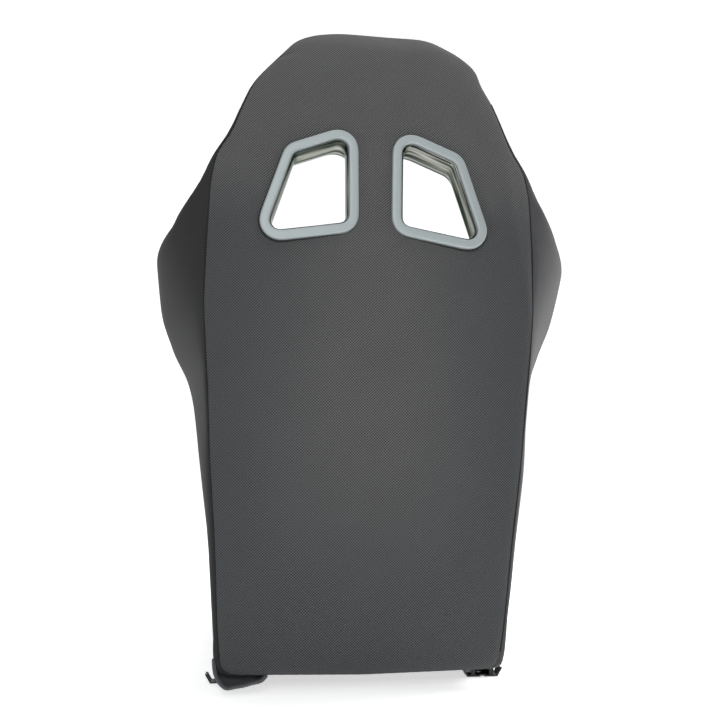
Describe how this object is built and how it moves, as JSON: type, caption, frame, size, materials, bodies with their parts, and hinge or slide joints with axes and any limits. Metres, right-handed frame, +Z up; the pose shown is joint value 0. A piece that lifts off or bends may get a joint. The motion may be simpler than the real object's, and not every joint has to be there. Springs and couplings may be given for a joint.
{
  "type": "racing bucket seat",
  "caption": "Fixed-back fabric racing seat with shoulder wings and harness slots, on a pair of latching slide rails.",
  "frame": {"origin": "on the floor under the middle of the whole seat, at the bottom faces of the slide rails", "axes": "+Z up, the seat faces -Y, +X is the occupant's left"},
  "size_m": [0.582, 0.6, 0.9],
  "materials": {
    "frame_paint": "satin",
    "webbing": "matte",
    "centre_fabric": "matte",
    "bolster_fabric": "matte",
    "rear_fabric": "matte",
    "skirt_fabric": "matte",
    "silver_trim": "satin",
    "chrome_trim": "polished",
    "slot_trim": "satin",
    "rail_steel": "satin",
    "glide_nylon": "satin",
    "zinc_hardware": "satin",
    "latch_steel": "satin",
    "bar_paint": "satin",
    "grip_rubber": "matte"
  },
  "bodies": {
    "floor_rails": {"lower_rail_left": "rail_steel", "lower_rail_right": "rail_steel", "lock_rack_left": "rail_steel", "lock_rack_right": "rail_steel", "rail_end_stops": "rail_steel"},
    "seat": {"back_hoop_tube": "frame_paint", "base_hoop_tube": "frame_paint", "base_rear_tube": "frame_paint", "base_middle_tube": "frame_paint", "lumbar_cross_tube": "frame_paint", "shoulder_cross_tube": "frame_paint", "neck_cross_tube": "frame_paint", "wing_rod_left": "frame_paint", "wing_rod_right": "frame_paint", "thigh_rod_left": "frame_paint", "thigh_rod_right": "frame_paint", "riser_front_left": "frame_paint", "riser_front_right": "frame_paint", "riser_rear_left": "frame_paint", "riser_rear_right": "frame_paint", "back_webbing": "webbing", "seat_webbing": "webbing", "back_pad": "centre_fabric", "head_top_pad": "centre_fabric", "seat_cushion": "centre_fabric", "side_bolster_left": "bolster_fabric", "side_bolster_right": "bolster_fabric", "thigh_bolster_left": "bolster_fabric", "thigh_bolster_right": "bolster_fabric", "rear_cover": "rear_fabric", "base_skirt": "skirt_fabric", "rear_bezel_left": "silver_trim", "rear_bezel_right": "silver_trim", "front_bezel_left": "chrome_trim", "front_bezel_right": "chrome_trim", "strap_slot_bezel": "slot_trim", "upper_rail_left": "rail_steel", "upper_rail_right": "rail_steel", "rail_glides": "glide_nylon", "rail_bolts": "zinc_hardware", "rail_nuts": "zinc_hardware", "latch_pin_left": "zinc_hardware", "latch_pin_right": "zinc_hardware", "latch_spring_left": "zinc_hardware", "latch_spring_right": "zinc_hardware", "latch_bracket_left": "zinc_hardware", "latch_bracket_right": "zinc_hardware"},
    "release_bar": {"release_bar": "bar_paint", "bar_grip": "grip_rubber", "latch_plate_left": "latch_steel", "latch_plate_right": "latch_steel"}
  },
  "joints": [
    {"name": "seat_slide", "type": "slide", "parent": "floor_rails", "child": "seat", "axis": [0, 1, 0], "range_m": [-0.09, 0.09]},
    {"name": "bar_lift", "type": "hinge", "parent": "seat", "child": "release_bar", "pos_m": [0, -0.06, 0.023], "axis": [-1, 0, 0], "range_deg": [0, 7], "stiffness_Nm_per_rad": 2, "springref_deg": -20.05}
  ]
}
